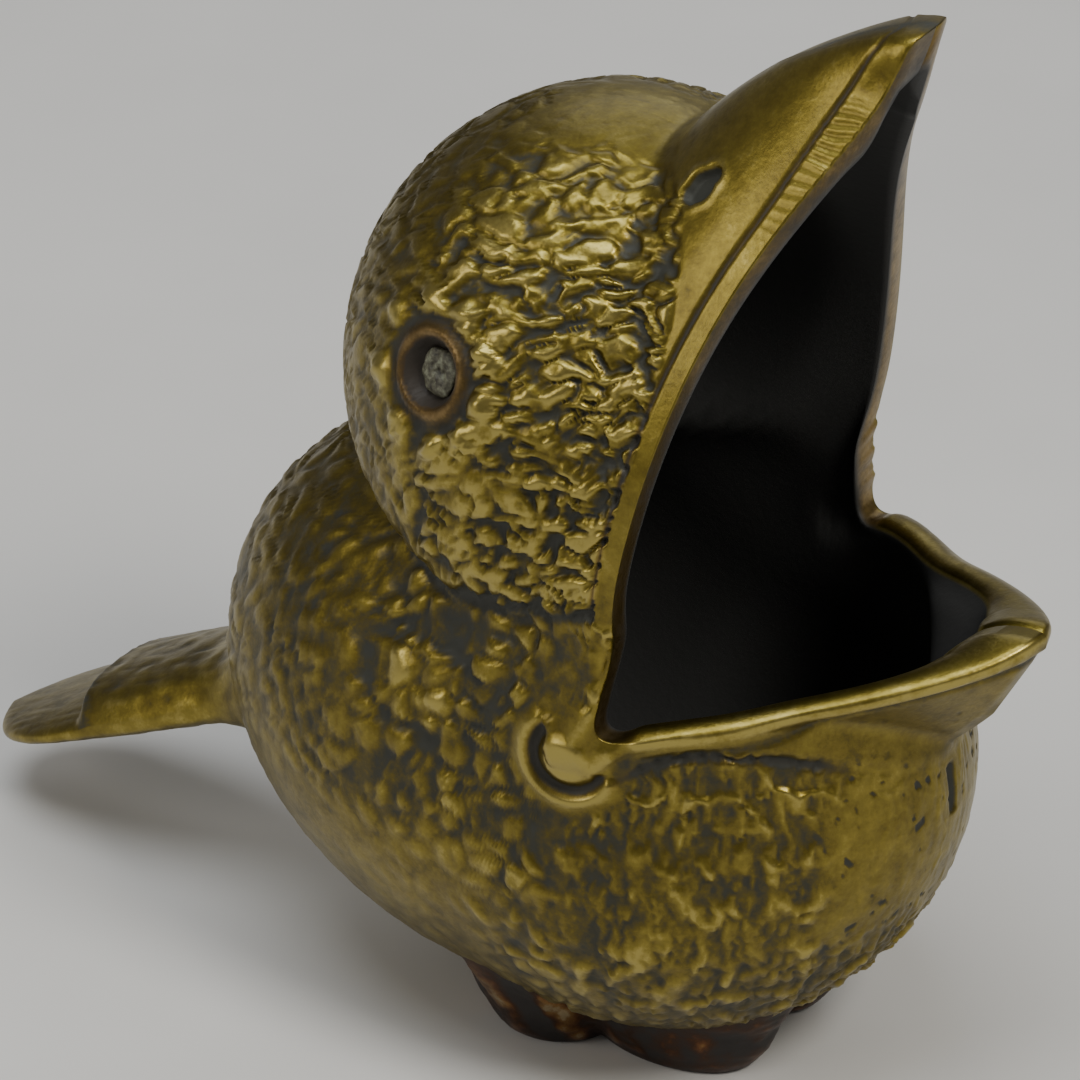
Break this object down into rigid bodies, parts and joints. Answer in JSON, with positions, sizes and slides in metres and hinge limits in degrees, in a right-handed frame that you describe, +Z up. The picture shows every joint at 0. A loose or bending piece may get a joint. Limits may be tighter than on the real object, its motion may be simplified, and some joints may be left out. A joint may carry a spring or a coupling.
{
  "type": "bird-shaped holder",
  "caption": "Hollow cast-brass fledgling bird with a wide-open bill, standing on two feet, used as a small dish or holder.",
  "frame": {"origin": "on the ground under the middle of the bird's outer box, soles at z = 0", "axes": "+X towards the bird's front, +Y towards its left side, +Z up"},
  "size_m": [0.1332, 0.0606, 0.1274],
  "materials": {
    "cast_brass": "cast, chased, dark patina in the hollows and worn bright on the high spots",
    "dark_brass": "cast, dark brown patina with coppery spots",
    "plain_brass": "turned, slightly tarnished",
    "steel": "machined, dulled by age",
    "eye_paste": "dull grey-green paste"
  },
  "bodies": {
    "root": {"left_shell": "cast_brass", "right_shell": "cast_brass", "tail": "cast_brass", "left_foot": "dark_brass", "right_foot": "dark_brass", "left_eye": "eye_paste", "right_eye": "eye_paste", "tail_stud": "steel", "tail_nut": "steel", "tail_washer": "plain_brass", "left_foot_screw": "steel", "right_foot_screw": "steel", "left_foot_washer": "plain_brass", "right_foot_washer": "plain_brass"}
  },
  "joints": []
}
